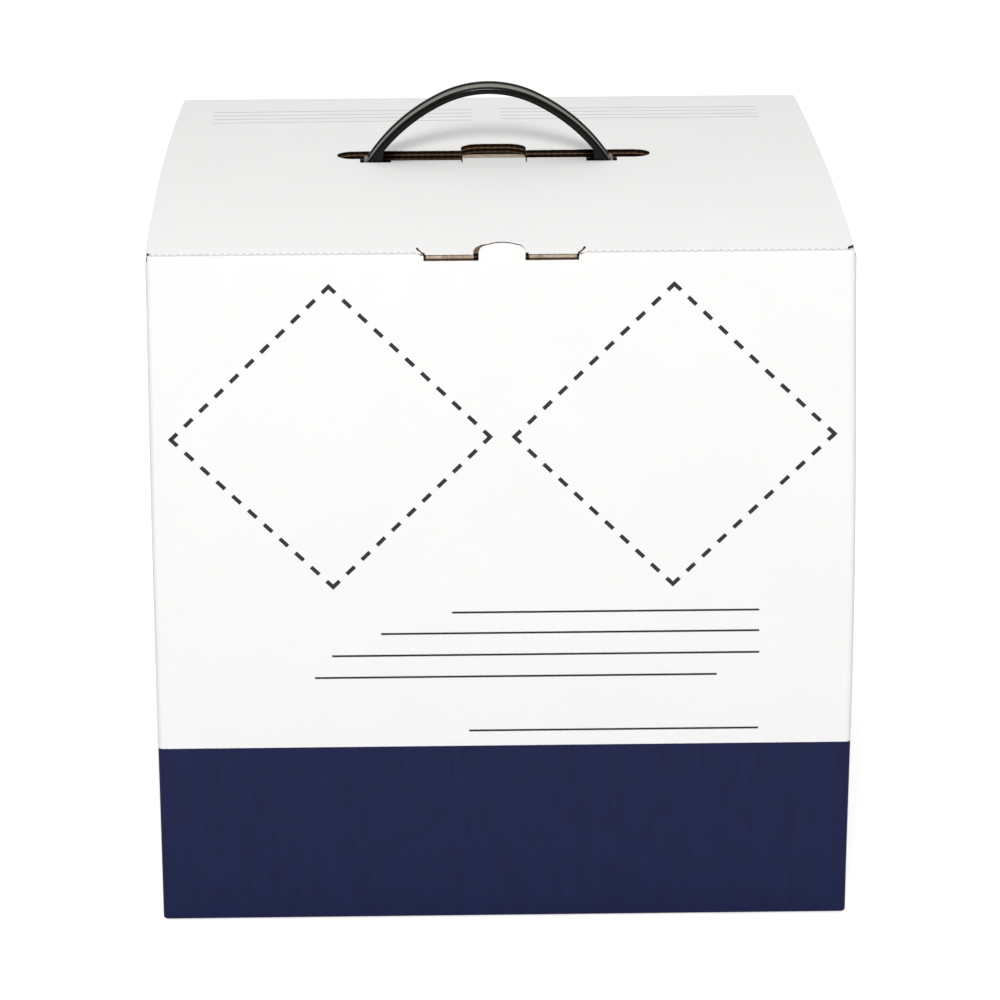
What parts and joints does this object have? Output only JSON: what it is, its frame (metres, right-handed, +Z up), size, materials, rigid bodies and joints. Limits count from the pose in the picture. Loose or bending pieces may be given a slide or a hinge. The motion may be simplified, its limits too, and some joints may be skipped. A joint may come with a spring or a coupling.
{
  "type": "specimen transport box",
  "caption": "Insulated specimen transport box: folded carton with tuck lid and carry handle, foam liner with its own lid, and a sealed jar held in the middle.",
  "frame": {"origin": "middle of the footprint, on the surface that the box stands on", "axes": "+Z up; the printed front with the lock tongue faces -Y; +X is to the right seen from the front"},
  "size_m": [0.31, 0.34, 0.3446],
  "materials": {
    "printed_board": "matte white-lined corrugated board, printed navy band at the foot",
    "kraft_board": "matte brown kraft corrugated board",
    "black_plastic": "glossy moulded polypropylene",
    "eps_foam": "matte moulded expanded polystyrene beads",
    "clear_plastic": "satin natural polypropylene",
    "cap_plastic": "satin red polypropylene",
    "seal_rubber": "matte",
    "absorbent_paper": "matte embossed absorbent sheet"
  },
  "bodies": {
    "carton": {"front_panel": "printed_board", "back_panel": "printed_board", "left_panel": "printed_board", "right_panel": "printed_board", "glue_flap": "kraft_board", "bottom_flap_front": "printed_board", "bottom_flap_back": "printed_board", "bottom_flap_left": "kraft_board", "bottom_flap_right": "kraft_board", "insulated_base": "eps_foam", "jar_locator": "kraft_board"},
    "lid": {"lid_panel": "printed_board", "handle_reinforcement": "kraft_board"},
    "tuck": {"tuck_flap": "printed_board"},
    "dust_left": {"dust_flap_left": "printed_board"},
    "dust_right": {"dust_flap_right": "printed_board"},
    "handle": {"carry_handle": "black_plastic"},
    "foam_lid": {"insulated_lid": "eps_foam"},
    "jar": {"secondary_jar": "clear_plastic", "absorbent_sleeve": "absorbent_paper"},
    "cap": {"jar_cap": "cap_plastic", "jar_seal": "seal_rubber"}
  },
  "joints": [
    {"name": "lid_fold", "type": "hinge", "parent": "carton", "child": "lid", "pos_m": [0, 0.17, 0.309], "axis": [-1, 0, 0], "range_deg": [0, 115]},
    {"name": "tuck_fold", "type": "hinge", "parent": "lid", "child": "tuck", "pos_m": [0, -0.1675, 0.309], "axis": [-1, 0, 0], "range_deg": [0, 35]},
    {"name": "dust_fold_left", "type": "hinge", "parent": "carton", "child": "dust_left", "pos_m": [-0.155, 0, 0.3065], "axis": [0, -1, 0], "range_deg": [0, 87]},
    {"name": "dust_fold_right", "type": "hinge", "parent": "carton", "child": "dust_right", "pos_m": [0.155, 0, 0.3065], "axis": [0, 1, 0], "range_deg": [0, 87]},
    {"name": "handle_drop", "type": "slide", "parent": "lid", "child": "handle", "axis": [0, 0, -1], "range_m": [0, 0.008]},
    {"name": "foam_lid_lift", "type": "slide", "parent": "carton", "child": "foam_lid", "axis": [0, 0, 1], "range_m": [0, 0.0245]},
    {"name": "jar_lift", "type": "slide", "parent": "carton", "child": "jar", "axis": [0, 0, 1], "range_m": [0, 0.0225]},
    {"name": "cap_turn", "type": "hinge", "parent": "jar", "child": "cap", "pos_m": [0, 0, 0.2], "axis": [0, 0, 1], "range_deg": [0, 360]}
  ],
  "couplings": [
    {"joint": "tuck_fold", "follows": "lid_fold", "ratio": 0.3},
    {"joint": "dust_fold_left", "follows": "lid_fold", "ratio": 0.75},
    {"joint": "dust_fold_right", "follows": "lid_fold", "ratio": 0.75},
    {"joint": "foam_lid_lift", "follows": "lid_fold", "m_per_rad": 0.012},
    {"joint": "jar_lift", "follows": "lid_fold", "m_per_rad": 0.011}
  ]
}
